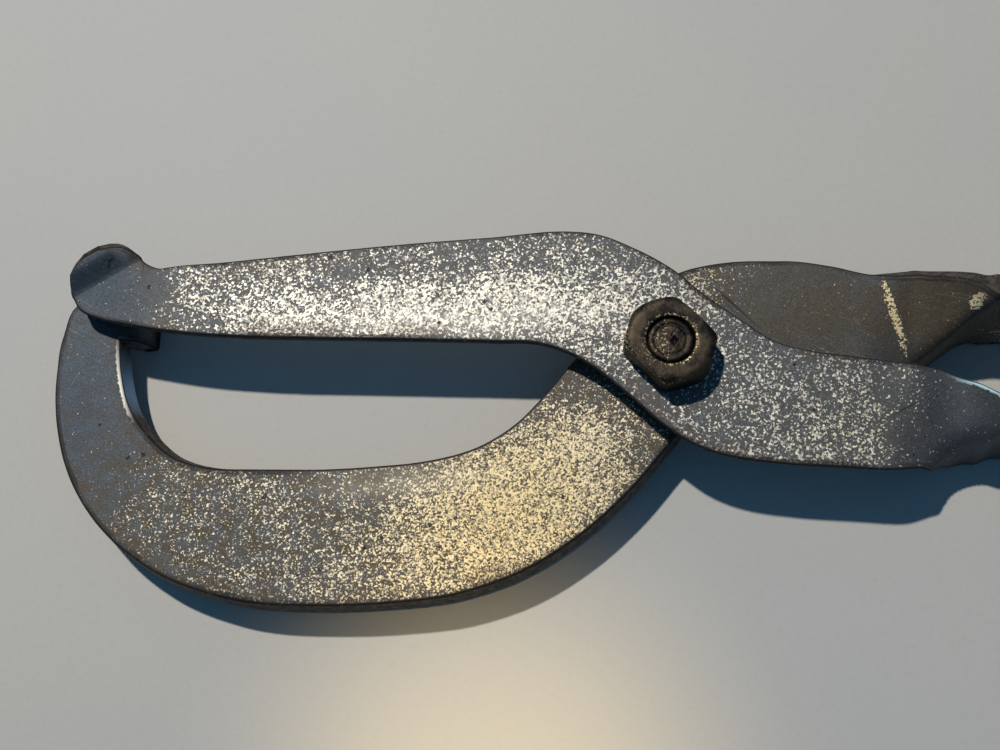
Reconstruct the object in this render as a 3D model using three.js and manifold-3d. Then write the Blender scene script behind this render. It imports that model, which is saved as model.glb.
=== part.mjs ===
// Drum brake spring pliers: two flat steel arms that cross on one bolt.
// Millimetres, +Z up. The origin is on the pivot axis, at the underside of the
// bolt head. +X runs to the handle ends and +Y to the straight jaw's side.
import * as THREE from 'three';
import { mergeVertices } from 'three/addons/utils/BufferGeometryUtils.js';
import Module from 'manifold-3d';

// Driving dimensions
const plateThickness = 4.76;
const plateGap = 0.3;
const boltHeadHeight = 4.2;
const boltDiameter = 7.94;
const holeDiameter = 8.6;
const headAcrossFlats = 12.7;
const nutAcrossFlats = 12.7;
const nutWornAcross = 15.3;
const nutRoundDiameter = 16.4;
const nutHeight = 5.3;
const nutTurn = 45;
const edgeChamfer = 0.6;
const clawEdgeLean = 0.7;
const hookEdgeLean = -0.9;
const gripDepth = 19.2;
const gripMiddleZ = 9.8;
const handleEndX = 232;
const ringSpacing = 4;

const clawMidZ = boltHeadHeight + plateGap + plateThickness / 2;
const hookMidZ = clawMidZ + plateThickness + plateGap;
const nutBaseZ = hookMidZ + plateThickness / 2 + plateGap;
const nutTopZ = nutBaseZ + nutHeight;

const wasm = await Module();
wasm.setup();

function toSolid(geometry) {
  const bare = geometry.index ? geometry.clone() : geometry;
  bare.deleteAttribute('normal');
  bare.deleteAttribute('uv');
  const merged = mergeVertices(bare, 1e-5);
  return new wasm.Manifold(new wasm.Mesh({
    numProp: 3,
    vertProperties: new Float32Array(merged.attributes.position.array),
    triVerts: new Uint32Array(merged.index.array),
  }));
}

function toGeometry(solid) {
  const mesh = solid.getMesh();
  const geometry = new THREE.BufferGeometry();
  geometry.setAttribute('position', new THREE.BufferAttribute(mesh.vertProperties, 3));
  geometry.setIndex(new THREE.BufferAttribute(mesh.triVerts, 1));
  geometry.computeVertexNormals();
  return geometry;
}

// A round rod between two heights on the pivot axis.
function rod(radius, fromZ, toZ, segments = 32) {
  const geometry = new THREE.CylinderGeometry(radius, radius, toZ - fromZ, segments);
  geometry.rotateX(Math.PI / 2);
  geometry.translate(0, 0, (fromZ + toZ) / 2);
  return toSolid(geometry);
}

// One station of a flat bar: its upper face's two edges in plan, its middle height,
// how far it is folded across its length, how far it is rolled about its
// length (both in degrees), and its thickness.
function station(edgeA, edgeB, z, fold = 0, roll = 0, thickness = plateThickness) {
  return [edgeA[0], edgeA[1], edgeB[0], edgeB[1], z, fold, roll, thickness];
}

// A handle station: the bar's centre in plan and its full depth.
function gripStation(x, y, z, roll, depth = gripDepth, thickness = plateThickness) {
  return station([x, y - depth / 2], [x, y + depth / 2], z, 0, roll, thickness);
}

function distanceBetween(rowA, rowB) {
  const stepX = (rowB[0] + rowB[2] - rowA[0] - rowA[2]) / 2;
  const stepY = (rowB[1] + rowB[3] - rowA[1] - rowA[3]) / 2;
  return Math.hypot(stepX, stepY, rowB[4] - rowA[4]);
}

// A cubic runs between two stations. Its slope at a station is the mean of
// the slopes on both sides, or zero where the value turns or is level.
function slopesOf(rows, steps) {
  const chord = (row, column) => (rows[row + 1][column] - rows[row][column]) / steps[row];
  return rows.map((values, row) => values.map((value, column) => {
    if (row === 0) return chord(0, column);
    if (row === rows.length - 1) return chord(row - 1, column);
    const before = chord(row - 1, column);
    const after = chord(row, column);
    if (before * after <= 0) return 0;
    const weight = steps[row - 1] / (steps[row - 1] + steps[row]);
    return before * (1 - weight) + after * weight;
  }));
}

function smoothRows(rows, spacing) {
  const steps = rows.slice(1).map((row, index) => distanceBetween(rows[index], row));
  const slopes = slopesOf(rows, steps);
  const fine = [];
  for (let row = 0; row < steps.length; row += 1) {
    const foldTurn = Math.abs(rows[row + 1][5] - rows[row][5]);
    const rollTurn = Math.abs(rows[row + 1][6] - rows[row][6]);
    const count = Math.ceil(Math.max(steps[row] / spacing, (foldTurn + rollTurn) / 12));
    for (let part = 0; part < count; part += 1) {
      const t = part / count;
      const h00 = (1 + 2 * t) * (1 - t) * (1 - t);
      const h01 = t * t * (3 - 2 * t);
      const h10 = t * (1 - t) * (1 - t) * steps[row];
      const h11 = t * t * (t - 1) * steps[row];
      fine.push(rows[row].map((value, column) => h00 * value
        + h01 * rows[row + 1][column]
        + h10 * slopes[row][column]
        + h11 * slopes[row + 1][column]));
    }
  }
  fine.push(rows[rows.length - 1]);
  return fine;
}

// The eight corners of the chamfered section at one station. The stamped edges
// lean: the lower face is wider than the upper one by the lean on each side,
// which fades out in narrow places and where the bar stands on edge.
function sectionCorners(row, lean) {
  const edgeA = new THREE.Vector3(row[0], row[1], row[4]);
  const edgeB = new THREE.Vector3(row[2], row[3], row[4]);
  const centre = edgeA.clone().add(edgeB).multiplyScalar(0.5);
  const halfWidth = edgeA.distanceTo(edgeB) / 2;
  const across = edgeB.clone().sub(edgeA).normalize();
  const up = new THREE.Vector3(0, 0, 1);
  const along = across.clone().cross(up);
  const normal = up.clone().applyAxisAngle(across, THREE.MathUtils.degToRad(row[5]));
  across.applyAxisAngle(along, THREE.MathUtils.degToRad(row[6]));
  normal.applyAxisAngle(along, THREE.MathUtils.degToRad(row[6]));
  const halfThick = row[7] / 2;
  const chamfer = Math.min(edgeChamfer, halfThick * 0.6, halfWidth * 0.4);
  const fade = Math.min(1, halfWidth / 8) * Math.cos(THREE.MathUtils.degToRad(row[6]));
  const lowHalf = halfWidth + lean * fade;
  const corners = [
    [halfWidth, halfThick - chamfer], [halfWidth - chamfer, halfThick],
    [chamfer - halfWidth, halfThick], [-halfWidth, halfThick - chamfer],
    [-lowHalf, chamfer - halfThick], [chamfer - lowHalf, -halfThick],
    [lowHalf - chamfer, -halfThick], [lowHalf, chamfer - halfThick],
  ];
  return corners.map(([side, rise]) => centre.clone()
    .addScaledVector(across, side)
    .addScaledVector(normal, rise));
}

// A closed bar skinned through its stations, with a flat cap at each end.
function flatBar(rows, lean) {
  const rings = smoothRows(rows, ringSpacing).map((row) => sectionCorners(row, lean));
  const sides = rings[0].length;
  const positions = rings.flat().flatMap((corner) => corner.toArray());
  const triangles = [];
  for (let ring = 0; ring < rings.length - 1; ring += 1) {
    for (let side = 0; side < sides; side += 1) {
      const next = (side + 1) % sides;
      const a = ring * sides + side;
      const b = ring * sides + next;
      triangles.push(a, b, b + sides, a, b + sides, a + sides);
    }
  }
  const last = (rings.length - 1) * sides;
  for (let side = 1; side < sides - 1; side += 1) {
    triangles.push(0, side + 1, side);
    triangles.push(last, last + side, last + side + 1);
  }
  const geometry = new THREE.BufferGeometry();
  geometry.setAttribute('position', new THREE.Float32BufferAttribute(positions, 3));
  geometry.setIndex(triangles);
  return toSolid(geometry);
}

// Claw arm: a C-shaped jaw whose tip is folded down into a finger. The bar
// runs from the finger's point round the C, over the pivot and into the
// upper handle. Edge A is the outside of the C, edge B the inside.
const fingerX = -97.7;
const fingerInnerY = 3.3;
const clawFinger = [
  station([fingerX + 0.4, 8.2], [fingerX + 0.4, 4.6], 0, -90, 0, 1.6),
  station([fingerX + 0.1, 10.2], [fingerX + 0.1, 4.0], 1.6, -90, 0, 2.7),
  station([fingerX, 12.0], [fingerX, fingerInnerY], 4.0, -84, 0, 3.6),
  station([-98.9, 12.8], [-98.9, fingerInnerY], 6.1, -42, 0, 4.5),
  station([-101.2, 13.1], [-100.5, fingerInnerY], clawMidZ, 0),
];
const clawCurve = [
  station([-105.5, 12.8], [-100.4, 3.3], clawMidZ),
  station([-109.5, 10.2], [-100.3, 3.1], clawMidZ),
  station([-111.4, 4.3], [-100.1, 1.4], clawMidZ),
  station([-111.8, -3.2], [-99.3, -3.1], clawMidZ),
  station([-110.3, -14.2], [-97.1, -9.5], clawMidZ),
  station([-106.6, -23.5], [-93.2, -14.6], clawMidZ),
  station([-100.0, -32.0], [-88.5, -18.4], clawMidZ),
  station([-89.9, -39.1], [-82.5, -20.3], clawMidZ),
  station([-77.6, -43.4], [-75.1, -20.7], clawMidZ),
  station([-63.0, -44.7], [-64.1, -20.7], clawMidZ),
  station([-48.6, -44.1], [-52.1, -20.1], clawMidZ),
  station([-36.0, -42.3], [-41.8, -18.9], clawMidZ),
  station([-25.4, -38.5], [-34.0, -16.7], clawMidZ),
  station([-15.4, -32.2], [-27.0, -12.4], clawMidZ),
  station([-7.0, -24.6], [-21.1, -6.2], clawMidZ),
  station([-0.2, -16.6], [-15.6, 0.5], clawMidZ),
];
const clawPivot = [
  station([5.2, -10.2], [-10.0, 6.4], clawMidZ),
  station([10.2, -6.4], [-4.0, 11.8], clawMidZ),
  station([15.2, -4.4], [2.6, 16.1], clawMidZ),
  station([20.4, -3.6], [11.2, 18.0], clawMidZ, 0, 1),
  station([26.0, -3.4], [21.0, 18.1], clawMidZ + 0.1, 0, 4),
  station([31.6, -3.4], [29.8, 16.9], clawMidZ + 0.3, 0, 7),
  station([36.0, -3.6], [36.0, 15.3], clawMidZ + 0.6, 0, 9),
];
const upperHandle = [
  gripStation(40.5, 5.5, 7.8, 18),
  gripStation(44.0, 5.5, 8.3, 38),
  gripStation(47.5, 5.8, 9.7, 60),
  gripStation(51.0, 7.0, 10.0, 76),
  gripStation(54.5, 7.7, 9.97, 81),
  gripStation(58.0, 8.0, 9.93, 83),
  gripStation(63.0, 8.1, 9.9, 84),
  gripStation(82.0, 9.8, 9.85, 88),
  gripStation(112.0, 14.8, gripMiddleZ, 90),
  gripStation(150.0, 20.0, gripMiddleZ, 90),
  gripStation(188.0, 21.8, gripMiddleZ, 90),
  gripStation(handleEndX - 18, 20.7, gripMiddleZ, 90, 18),
  gripStation(handleEndX - 7, 19.9, gripMiddleZ, 90, 15),
  gripStation(handleEndX - 1.8, 19.5, gripMiddleZ, 90, 10.5, 4.4),
  gripStation(handleEndX, 19.3, gripMiddleZ, 90, 6.5, 3.4),
];

// Hook arm: a tapered straight jaw whose outer corner is bent up on a
// slanting line into a spur. Edge A is the lower edge, edge B the upper one.
const foldOrigin = [-106.7, 10.5];
const foldHeading = THREE.MathUtils.degToRad(32);

function spurStation(fromAlong, toAlong, beyond, z, fold, thickness = plateThickness) {
  const place = (along) => [
    foldOrigin[0] + along * Math.cos(foldHeading) - beyond * Math.sin(foldHeading),
    foldOrigin[1] + along * Math.sin(foldHeading) + beyond * Math.cos(foldHeading),
  ];
  return station(place(fromAlong), place(toAlong), z, fold, 0, thickness);
}

const hookSpur = [
  spurStation(3.4, 7.6, 5.7, 15.4, 40, 3.6),
  spurStation(1.4, 9.6, 5.2, 15.0, 40, 4.5),
  spurStation(-0.1, 11.6, 4.1, 14.2, 40),
  spurStation(-1.0, 12.5, 2.7, 13.1, 38),
  spurStation(-1.5, 12.9, 1.2, hookMidZ + 0.3, 20),
  spurStation(-1.5, 12.9, -0.3, hookMidZ, 0),
  spurStation(-1.1, 15.0, -3.4, hookMidZ, 0),
];
const hookJaw = [
  station([-103.0, 5.9], [-91.4, 15.7], hookMidZ),
  station([-96.6, 4.5], [-87.8, 16.2], hookMidZ),
  station([-88.0, 3.2], [-82.0, 16.6], hookMidZ),
  station([-76.0, 2.3], [-74.0, 17.4], hookMidZ),
  station([-60.0, 1.9], [-59.5, 18.9], hookMidZ),
  station([-44.0, 1.6], [-44.0, 20.3], hookMidZ),
  station([-31.0, 1.3], [-30.5, 21.3], hookMidZ),
  station([-22.0, 0.8], [-19.0, 22.3], hookMidZ),
  station([-17.4, -0.8], [-12.4, 21.7], hookMidZ),
  station([-12.2, -4.0], [-5.6, 18.9], hookMidZ),
  station([-6.6, -8.7], [0.8, 15.1], hookMidZ),
  station([-1.4, -13.4], [6.8, 9.9], hookMidZ),
  station([3.6, -16.9], [12.4, 5.7], hookMidZ),
  station([9.6, -19.1], [18.2, 1.6], hookMidZ),
  station([18.0, -20.3], [24.2, -0.2], hookMidZ),
  station([28.0, -20.9], [31.0, -1.2], hookMidZ),
  station([36.0, -21.3], [37.5, -2.1], hookMidZ),
];
const lowerHandle = [
  gripStation(43.0, -12.2, 11.7, 14),
  gripStation(46.5, -12.3, 9.8, 42),
  gripStation(50.0, -13.1, 9.85, 64),
  gripStation(53.0, -13.3, 10.02, 75),
  gripStation(57.0, -13.35, 10.0, 81),
  gripStation(61.0, -13.6, 9.95, 83),
  gripStation(84.0, -14.6, 9.85, 88),
  gripStation(112.0, -18.6, gripMiddleZ, 90),
  gripStation(150.0, -24.0, gripMiddleZ, 90),
  gripStation(188.0, -25.8, gripMiddleZ, 90),
  gripStation(handleEndX - 18, -24.7, gripMiddleZ, 90, 18),
  gripStation(handleEndX - 7, -23.9, gripMiddleZ, 90, 15),
  gripStation(handleEndX - 1.8, -23.5, gripMiddleZ, 90, 10.5, 4.4),
  gripStation(handleEndX, -23.3, gripMiddleZ, 90, 6.5, 3.4),
];

function makeArm(rows, lean) {
  const hole = rod(holeDiameter / 2, 0, nutTopZ);
  return flatBar(rows, lean).subtract(hole);
}

// A six-sided block round the pivot axis. Each pair of opposite flats has its
// own width, and the first pair faces the turn angle.
function sixSided(fromZ, toZ, turnDegrees, widths) {
  const outline = new THREE.Shape();
  for (let corner = 0; corner < 6; corner += 1) {
    const headingA = THREE.MathUtils.degToRad(turnDegrees + 60 * corner);
    const headingB = headingA + Math.PI / 3;
    const reachA = widths[corner % 3] / 2;
    const reachB = widths[(corner + 1) % 3] / 2;
    const cross = Math.sin(headingB - headingA);
    const x = (reachA * Math.sin(headingB) - reachB * Math.sin(headingA)) / cross;
    const y = (reachB * Math.cos(headingA) - reachA * Math.cos(headingB)) / cross;
    if (corner === 0) outline.moveTo(x, y);
    else outline.lineTo(x, y);
  }
  outline.closePath();
  const geometry = new THREE.ExtrudeGeometry(outline, { depth: toZ - fromZ, bevelEnabled: false });
  geometry.translate(0, 0, fromZ);
  return toSolid(geometry);
}

// The turned blank that the flats are cut on. It rounds the corners and
// gives the chamfers at the two faces.
function turnedBlank(diameter, fromZ, toZ, chamferBelow, chamferAbove) {
  const radius = diameter / 2;
  const profile = [
    [0, fromZ], [radius - chamferBelow, fromZ], [radius, fromZ + chamferBelow],
    [radius, toZ - chamferAbove], [radius - chamferAbove, toZ], [0, toZ],
  ].map(([across, z]) => new THREE.Vector2(across, z));
  const geometry = new THREE.LatheGeometry(profile, 36);
  geometry.rotateX(Math.PI / 2);
  return toSolid(geometry);
}

// The nut: one pair of flats is sharp, the other two pairs are worn round.
function makeNut() {
  const widths = [nutAcrossFlats, nutWornAcross, nutWornAcross];
  const blank = turnedBlank(nutRoundDiameter, nutBaseZ, nutTopZ, 0.5, 1.4);
  const bore = rod(holeDiameter / 2, nutBaseZ - 1, nutTopZ + 1);
  return sixSided(nutBaseZ, nutTopZ, nutTurn, widths).intersect(blank).subtract(bore);
}

// The bolt: a hexagon head below and a shank whose chamfered end is peened.
function makeBolt() {
  const widths = [headAcrossFlats, headAcrossFlats, headAcrossFlats];
  const blank = turnedBlank(headAcrossFlats * 1.12, 0, boltHeadHeight, 0.9, 0.3);
  const head = sixSided(0, boltHeadHeight, 0, widths).intersect(blank);
  const shankTop = nutTopZ - 0.2;
  const shank = rod(boltDiameter / 2, boltHeadHeight - 1, shankTop - 0.8);
  const end = rod(boltDiameter / 2 - 0.8, shankTop - 1.2, shankTop);
  return head.add(shank).add(end);
}

const plateSteel = { color: 0x8d8c86, roughness: 0.42, metalness: 0.9 };
const darkSteel = { color: 0x4a4036, roughness: 0.5, metalness: 0.8 };

const pliers = new THREE.Group();

function addPart(name, solid, finish) {
  const mesh = new THREE.Mesh(toGeometry(solid), new THREE.MeshStandardMaterial(finish));
  mesh.name = name;
  pliers.add(mesh);
}

const clawRows = [...clawFinger, ...clawCurve, ...clawPivot, ...upperHandle];
const hookRows = [...hookSpur, ...hookJaw, ...lowerHandle];

addPart('claw_arm', makeArm(clawRows, clawEdgeLean), plateSteel);
addPart('hook_arm', makeArm(hookRows, hookEdgeLean), plateSteel);
addPart('pivot_bolt', makeBolt(), darkSteel);
addPart('pivot_nut', makeNut(), darkSteel);

export default pliers;
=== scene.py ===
import math

import bpy
import numpy as np
from mathutils import Matrix


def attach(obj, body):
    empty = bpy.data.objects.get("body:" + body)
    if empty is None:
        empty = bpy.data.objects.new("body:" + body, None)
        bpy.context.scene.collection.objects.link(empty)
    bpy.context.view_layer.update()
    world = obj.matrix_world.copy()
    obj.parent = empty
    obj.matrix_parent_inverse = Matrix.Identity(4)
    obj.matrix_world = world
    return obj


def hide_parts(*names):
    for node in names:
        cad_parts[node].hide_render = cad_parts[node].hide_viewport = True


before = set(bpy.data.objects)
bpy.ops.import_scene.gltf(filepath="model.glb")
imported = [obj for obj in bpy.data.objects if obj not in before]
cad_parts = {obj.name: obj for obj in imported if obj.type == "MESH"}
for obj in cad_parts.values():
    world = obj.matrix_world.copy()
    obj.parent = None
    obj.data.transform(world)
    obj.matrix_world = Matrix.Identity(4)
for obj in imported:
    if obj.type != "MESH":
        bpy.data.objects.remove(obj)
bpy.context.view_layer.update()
mm = 0.001
print("frame loaded:", sorted(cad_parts))

# The camera looks down on the tool, leaning a little towards its lower edge.
cameraLook = {
    "lens": 42.0,                           # mm on a 36 mm sensor
    "turn": 4.0,                            # degrees round to the right
    "lean": 15.5,                           # degrees away from straight above
    "distance": 0.20417,
    "target": (-0.02937, -0.00480, 0.01432),
}

# Daylight from high on the left, a warm pool of light in front, pale blue all round.
lightLook = {
    "dayFrom": (-0.34, 0.49, 1.0),
    "dayTowards": (-0.03, 0, 0),
    "dayDistance": 1.2,
    "daySize": 0.05,
    "dayPower": 14.2,
    "dayColour": (1.0, 0.93, 0.84),
    "lampAt": (-0.030, -0.078, 0.60),
    "lampAngle": 9.0,
    "lampPower": 9.0,
    "lampColour": (1.0, 0.72, 0.30),
    "lampSize": 0.02,
    "roomColour": (0.22, 0.56, 1.0),
    "roomStrength": 0.165,
}

floorLook = {
    "size": 2.4,
    "pale": (0.58, 0.57, 0.53, 1),
    "cool": (0.56, 0.56, 0.54, 1),
    "speck": (0.46, 0.45, 0.42, 1),
    "roughness": 0.55,
}


def unit(vectors):
    # each row divided by its length
    return vectors / np.linalg.norm(vectors, axis=-1, keepdims=True)


def turnAbout(vectors, axes, degrees):
    # the turning formula: v cos a + (axis x v) sin a + axis (axis . v)(1 - cos a)
    angle = np.radians(degrees)[:, None]
    dots = (axes * vectors).sum(1, keepdims=True)
    turned = vectors * np.cos(angle) + np.cross(axes, vectors) * np.sin(angle)
    return turned + axes * dots * (1 - np.cos(angle))


def ripple(places, waves, seed):
    # a sum of sine waves of random direction, length and phase, between about -1 and 1
    draw = np.random.default_rng(seed)
    total = np.zeros(places.shape[:-1])
    for shortest, longest in waves:
        heading = unit(draw.normal(size=(5, places.shape[-1])))
        length = draw.uniform(shortest, longest, 5)
        phase = draw.uniform(0, 2 * np.pi, 5)
        total += np.sin(places @ (heading / length[:, None]).T * 2 * np.pi + phase).mean(-1)
    return total / len(waves)


def meshFrom(name, points, faces, smooth=True):
    mesh = bpy.data.meshes.new(name)
    mesh.from_pydata(points.tolist(), [], [face for block in faces for face in block.tolist()])
    mesh.validate()
    mesh.polygons.foreach_set("use_smooth", np.full(len(mesh.polygons), smooth))
    mesh.update()
    piece = bpy.data.objects.new(name, mesh)
    bpy.context.scene.collection.objects.link(piece)
    return piece


def gridFaces(rings, sides, first=0):
    # four-sided faces between neighbouring rings, closed round each ring
    ring, side = np.meshgrid(np.arange(rings - 1), np.arange(sides), indexing="ij")
    a = first + ring * sides + side
    b = first + ring * sides + (side + 1) % sides
    return np.stack((a, b, b + sides, a + sides), -1).reshape(-1, 4)


def storeAttribute(piece, name, values):
    attribute = piece.data.attributes.new(name, "FLOAT", "POINT")
    attribute.data.foreach_set("value", np.asarray(values, np.float32).ravel())


def feed(tree, socket, value):
    if isinstance(value, bpy.types.NodeSocket):
        tree.links.new(value, socket)
    else:
        socket.default_value = value


def place(tree, kind, inputs=None, **settings):
    made = tree.nodes.new(kind)
    for key, value in settings.items():
        setattr(made, key, value)
    for key, value in (inputs or {}).items():
        feed(tree, made.inputs[key], value)
    return made


def calc(tree, operation, *values, clamp=False):
    made = place(tree, "ShaderNodeMath", operation=operation, use_clamp=clamp)
    for index, value in enumerate(values):
        feed(tree, made.inputs[index], value)
    return made.outputs[0]


def between(tree, value, low, high, toLow=0.0, toHigh=1.0):
    made = place(tree, "ShaderNodeMapRange", {
        "Value": value, "From Min": low, "From Max": high, "To Min": toLow, "To Max": toHigh,
    }, interpolation_type="SMOOTHSTEP")
    return made.outputs[0]


def blendColour(tree, share, first, second, kind="MIX"):
    made = place(tree, "ShaderNodeMix", data_type="RGBA", blend_type=kind)
    feed(tree, made.inputs[0], share)
    feed(tree, made.inputs[6], first)
    feed(tree, made.inputs[7], second)
    return made.outputs[2]


def greyOf(tree, value):
    # one value in all three channels
    made = place(tree, "ShaderNodeCombineColor", {"Red": value, "Green": value, "Blue": value})
    return made.outputs[0]


def noise(tree, vector, scale, detail=2.0, roughness=0.5, distortion=0.0):
    made = place(tree, "ShaderNodeTexNoise", {
        "Vector": vector, "Scale": scale, "Detail": detail,
        "Roughness": roughness, "Distortion": distortion,
    })
    return made.outputs["Fac"]


def newGroup(name, inputs, outputs):
    group = bpy.data.node_groups.new(name, "ShaderNodeTree")
    for label, kind, value in inputs:
        socket = group.interface.new_socket(label, in_out="INPUT", socket_type="NodeSocket" + kind)
        socket.default_value = value
    for label, kind in outputs:
        group.interface.new_socket(label, in_out="OUTPUT", socket_type="NodeSocket" + kind)
    start = group.nodes.new("NodeGroupInput")
    end = group.nodes.new("NodeGroupOutput")
    return group, start.outputs, end.inputs


def useGroup(tree, group, inputs):
    made = tree.nodes.new("ShaderNodeGroup")
    made.node_tree = group
    for key, value in inputs.items():
        feed(tree, made.inputs[key], value)
    return made.outputs


def makeSoftSpot():
    # 1 at the centre, falling smoothly to 0 at the edge of a turned oval
    group, given, result = newGroup("softSpot", [
        ("Vector", "Vector", (0, 0, 0)), ("Centre", "Vector", (0, 0, 0)),
        ("Reach", "Vector", (1, 1, 1)), ("Turn", "Float", 0.0), ("Ragged", "Float", 0.0),
    ], [("Mask", "Float")])
    away = place(group, "ShaderNodeVectorMath", {0: given["Vector"], 1: given["Centre"]},
                 operation="SUBTRACT")
    turned = place(group, "ShaderNodeVectorRotate", {
        "Vector": away.outputs[0], "Angle": given["Turn"],
    }, rotation_type="Z_AXIS")
    shrunk = place(group, "ShaderNodeVectorMath", {0: turned.outputs[0], 1: given["Reach"]},
                   operation="DIVIDE")
    length = place(group, "ShaderNodeVectorMath", {0: shrunk.outputs[0]}, operation="LENGTH")
    rough = noise(group, given["Vector"], 260.0, 3.0, 0.6)
    shift = calc(group, "MULTIPLY", calc(group, "SUBTRACT", rough, 0.5), given["Ragged"])
    reach = calc(group, "ADD", length.outputs["Value"], shift)
    feed(group, result["Mask"], between(group, reach, 1.0, 0.0))
    return group


def makeGlitter():
    # grains painted as glints: blotches of fine noise and single cells, cut off at a level set by the
    # amount
    group, given, result = newGroup("glitterGrain", [
        ("Vector", "Vector", (0, 0, 0)), ("Amount", "Float", 0.5), ("Size", "Float", 2600.0),
    ], [("Glint", "Float"), ("Tone", "Float"), ("Height", "Float")])
    fine = noise(group, given["Vector"], given["Size"], 2.0, 0.62, 0.4)
    cells = place(group, "ShaderNodeTexVoronoi", {
        "Vector": given["Vector"], "Scale": given["Size"], "Randomness": 1.0,
    }, feature="F1")
    parts = place(group, "ShaderNodeSeparateColor", {"Color": cells.outputs["Color"]})
    chance = parts.outputs[0]
    mixed = calc(group, "ADD", calc(group, "MULTIPLY", fine, 0.72),
                 calc(group, "MULTIPLY", chance, 0.28))
    cut = between(group, given["Amount"], 0.0, 1.0, 0.72, 0.42)
    feed(group, result["Glint"], between(group, calc(group, "SUBTRACT", mixed, cut), 0.0, 0.045))
    feed(group, result["Tone"], parts.outputs[1])
    feed(group, result["Height"], mixed)
    return group


def makePits():
    # dark ragged pits: cells whose draw is high, cut near their centres and frayed by noise
    group, given, result = newGroup("smallPits", [
        ("Vector", "Vector", (0, 0, 0)), ("Spacing", "Float", 300.0), ("Chance", "Float", 0.3),
        ("Size", "Float", 0.2),
    ], [("Mask", "Float")])
    cells = place(group, "ShaderNodeTexVoronoi", {
        "Vector": given["Vector"], "Scale": given["Spacing"], "Randomness": 1.0,
    }, feature="F1")
    parts = place(group, "ShaderNodeSeparateColor", {"Color": cells.outputs["Color"]})
    chosen = calc(group, "LESS_THAN", parts.outputs[0], given["Chance"])
    fray = noise(group, given["Vector"], 2200.0, 2.0, 0.6)
    edge = calc(group, "ADD", cells.outputs["Distance"],
                calc(group, "MULTIPLY", calc(group, "SUBTRACT", fray, 0.5), 0.35))
    size = calc(group, "MULTIPLY", given["Size"], calc(group, "ADD", parts.outputs[2], 0.35))
    near = between(group, calc(group, "SUBTRACT", edge, size), 0.05, -0.03)
    feed(group, result["Mask"], calc(group, "MULTIPLY", near, chosen))
    return group


def makeEdgeWearAndShade():
    # a dark line round the corner, ragged inwards, painted shade and dark reflection with some oxide,
    # and scraped pale bits along it
    group, given, result = newGroup("edgeWearAndShade", [
        ("Vector", "Vector", (0, 0, 0)), ("Rim", "Float", 1.0), ("Wall", "Float", 0.0),
        ("Reach", "Float", 0.4),
    ], [("Dark", "Float"), ("Rust", "Float"), ("Bright", "Float")])
    ragged = noise(group, given["Vector"], 900.0, 3.0, 0.65)
    patch = noise(group, given["Vector"], 120.0, 2.0, 0.5)
    reach = calc(group, "MULTIPLY", given["Reach"],
                 calc(group, "MULTIPLY", ragged, calc(group, "ADD", patch, 0.4)))
    inward = between(group, calc(group, "SUBTRACT", given["Rim"], reach), 0.12, -0.05)
    feed(group, result["Dark"], inward)
    rustReach = calc(group, "MULTIPLY", reach, 5.0)
    rusty = between(group, calc(group, "SUBTRACT", given["Rim"], rustReach), 0.6, -0.4)
    feed(group, result["Rust"], calc(group, "MULTIPLY", rusty, between(group, patch, 0.45, 0.62)))
    scraped = between(group, noise(group, given["Vector"], 1500.0, 2.0, 0.6), 0.60, 0.68)
    feed(group, result["Bright"], calc(group, "MULTIPLY", scraped, given["Wall"]))
    return group


def makeScratches():
    # thin lines: noise stretched along one heading and cut near its middle value
    group, given, result = newGroup("fineScratches", [
        ("Vector", "Vector", (0, 0, 0)), ("Heading", "Float", 0.0), ("Amount", "Float", 0.2),
    ], [("Mask", "Float")])
    turned = place(group, "ShaderNodeVectorRotate", {
        "Vector": given["Vector"], "Angle": given["Heading"],
    }, rotation_type="Z_AXIS")
    stretched = place(group, "ShaderNodeVectorMath", {
        0: turned.outputs[0], 1: (60.0, 1500.0, 60.0),
    }, operation="MULTIPLY")
    lines = noise(group, stretched.outputs[0], 1.0, 1.0, 0.4)
    ridge = between(group, calc(group, "ABSOLUTE", calc(group, "SUBTRACT", lines, 0.5)), 0.02, 0.0)
    where = between(group, noise(group, given["Vector"], 70.0, 1.0), 0.5, 0.7)
    shown = calc(group, "MULTIPLY", calc(group, "MULTIPLY", ridge, where), given["Amount"])
    feed(group, result["Mask"], shown)
    return group


softSpot = makeSoftSpot()
glitterGrain = makeGlitter()
smallPits = makePits()
edgeWearAndShade = makeEdgeWearAndShade()
fineScratches = makeScratches()
print("shader groups made")


def newMaterial(name):
    material = bpy.data.materials.new(name)
    material.use_nodes = True
    tree = material.node_tree
    tree.nodes.clear()
    shader = tree.nodes.new("ShaderNodeBsdfPrincipled")
    output = tree.nodes.new("ShaderNodeOutputMaterial")
    tree.links.new(shader.outputs[0], output.inputs["Surface"])
    where = tree.nodes.new("ShaderNodeTexCoord").outputs["Object"]
    return material, tree, shader, where


def pointValue(tree, name):
    return place(tree, "ShaderNodeAttribute", attribute_name=name).outputs["Fac"]


def spotMask(tree, where, spot):
    return useGroup(tree, softSpot, {
        "Vector": where, "Centre": tuple(c * mm for c in spot[0]),
        "Reach": tuple(c * mm for c in spot[1]), "Turn": math.radians(spot[2]),
        "Ragged": spot[3],
    })["Mask"]
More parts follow.
